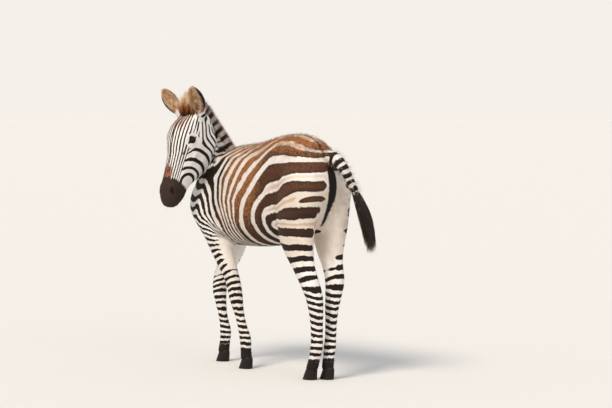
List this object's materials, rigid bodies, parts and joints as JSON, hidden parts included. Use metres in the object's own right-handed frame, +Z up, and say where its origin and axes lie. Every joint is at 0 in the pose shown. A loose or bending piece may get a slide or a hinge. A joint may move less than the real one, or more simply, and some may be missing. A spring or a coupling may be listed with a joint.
{
  "type": "zebra",
  "caption": "Life-size still model of a young plains zebra, standing with its neck raised and bent to the left and its nose lowered.",
  "frame": {"origin": "on the floor, under the middle of the whole animal", "axes": "the animal faces -X along its trunk, its left side is -Y, and +Z is up"},
  "size_m": [1.234, 0.5522, 1.3435],
  "materials": {
    "coat": "short soft hair, cream with orange-brown to black bands",
    "mane_hair": "stiff upright hair in brown and cream bands",
    "tail_hair": "long coarse black hair",
    "horn": "dull ridged dark hoof horn",
    "eye": "wet glossy dark eye"
  },
  "bodies": {
    "root": {"trunk": "coat", "neck": "coat", "head": "coat", "ear_left": "coat", "ear_right": "coat", "eye_left": "eye", "eye_right": "eye", "forelock": "mane_hair", "mane": "mane_hair", "tail": "coat", "tail_tuft": "tail_hair", "upper_fore_left": "coat", "lower_fore_left": "coat", "hoof_fore_left": "horn", "upper_fore_right": "coat", "lower_fore_right": "coat", "hoof_fore_right": "horn", "upper_hind_left": "coat", "lower_hind_left": "coat", "hoof_hind_left": "horn", "upper_hind_right": "coat", "lower_hind_right": "coat", "hoof_hind_right": "horn"}
  },
  "joints": []
}
